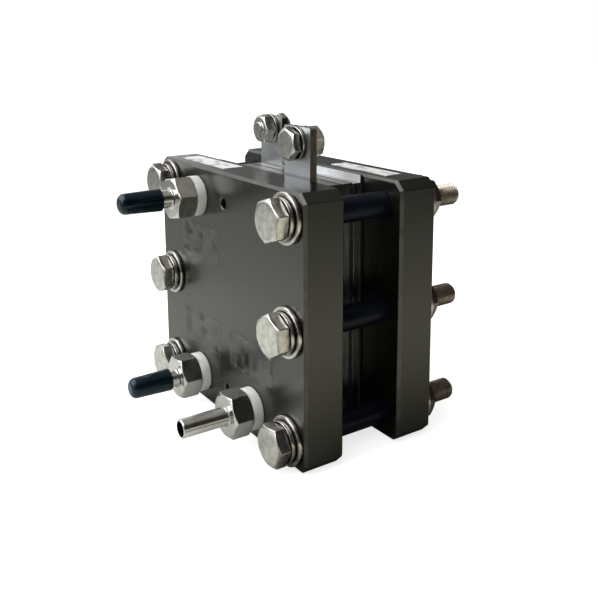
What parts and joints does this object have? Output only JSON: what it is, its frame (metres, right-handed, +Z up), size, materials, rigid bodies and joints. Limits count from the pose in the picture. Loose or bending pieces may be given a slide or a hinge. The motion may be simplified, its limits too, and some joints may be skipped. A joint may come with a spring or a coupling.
{
  "type": "water electrolyser stack",
  "caption": "Bench stack that splits water into gases: thick clamped end plates, flat cells between current collectors with terminal tabs, and hose ports with caps.",
  "frame": {"origin": "centre of the bounding box's bottom, midway between the cap's tip and the bolt ends, on the surface the plates stand on", "axes": "+X to the right seen from the port side, +Y from the port side to the nut side, +Z up"},
  "size_m": [0.134, 0.1336, 0.1424],
  "materials": {
    "anodised_plate": "dark grey hard anodised, smooth with a soft sheen",
    "stainless_steel": "bright stainless, slightly worn",
    "collector_metal": "satin plated metal",
    "flow_plate_metal": "matt grey machined metal",
    "insulation_sheet": "pale translucent sheet",
    "seal_rubber": "dark flat rubber",
    "porous_titanium": "fine woven mesh",
    "membrane_film": "thin film with dark catalyst layers",
    "carbon_paper": "black fibrous paper",
    "black_sleeve": "smooth black tube, slightly glossy",
    "white_collar": "white, waxy",
    "black_cap": "soft black vinyl with a sheen",
    "white_label": "white sticker",
    "clear_film": "thin clear film"
  },
  "bodies": {
    "root": {"anode_flow_plate": "flow_plate_metal", "bipolar_plate": "flow_plate_metal", "cathode_flow_plate": "flow_plate_metal", "cell_1_anode_seal_frame": "seal_rubber", "cell_1_carbon_paper": "carbon_paper", "cell_1_cathode_seal_frame": "seal_rubber", "cell_1_membrane": "membrane_film", "cell_1_titanium_mesh": "porous_titanium", "cell_2_anode_seal_frame": "seal_rubber", "cell_2_carbon_paper": "carbon_paper", "cell_2_cathode_seal_frame": "seal_rubber", "cell_2_membrane": "membrane_film", "cell_2_titanium_mesh": "porous_titanium", "clamp_bolt_bottom_left": "stainless_steel", "clamp_bolt_bottom_right": "stainless_steel", "clamp_bolt_middle_left": "stainless_steel", "clamp_bolt_middle_right": "stainless_steel", "clamp_bolt_top_left": "stainless_steel", "clamp_bolt_top_right": "stainless_steel", "clamp_front_washers": "stainless_steel", "clamp_nuts": "stainless_steel", "clamp_rear_washers": "stainless_steel", "clamp_spring_washers": "stainless_steel", "front_collector_seal": "seal_rubber", "front_current_collector": "collector_metal", "front_end_plate": "anodised_plate", "front_insulation_sheet": "insulation_sheet", "front_top_label": "white_label", "insulating_sleeve_bottom_left": "black_sleeve", "insulating_sleeve_bottom_right": "black_sleeve", "insulating_sleeve_middle_left": "black_sleeve", "insulating_sleeve_middle_right": "black_sleeve", "insulating_sleeve_top_left": "black_sleeve", "insulating_sleeve_top_right": "black_sleeve", "port_cap_bottom_left": "black_cap", "port_cap_top_left": "black_cap", "port_collar_bottom_left": "white_collar", "port_collar_bottom_right": "white_collar", "port_collar_top_left": "white_collar", "port_film_bottom_left": "clear_film", "port_film_bottom_right": "clear_film", "port_film_top_left": "clear_film", "port_fitting_bottom_left": "stainless_steel", "port_fitting_bottom_right": "stainless_steel", "port_fitting_top_left": "stainless_steel", "port_seal_rings": "seal_rubber", "rear_collector_seal": "seal_rubber", "rear_current_collector": "collector_metal", "rear_end_plate": "anodised_plate", "rear_insulation_sheet": "insulation_sheet", "rear_top_label": "white_label", "tab_bolt_front": "stainless_steel", "tab_bolt_rear": "stainless_steel", "tab_flat_washers": "stainless_steel", "tab_nuts": "stainless_steel"}
  },
  "joints": []
}
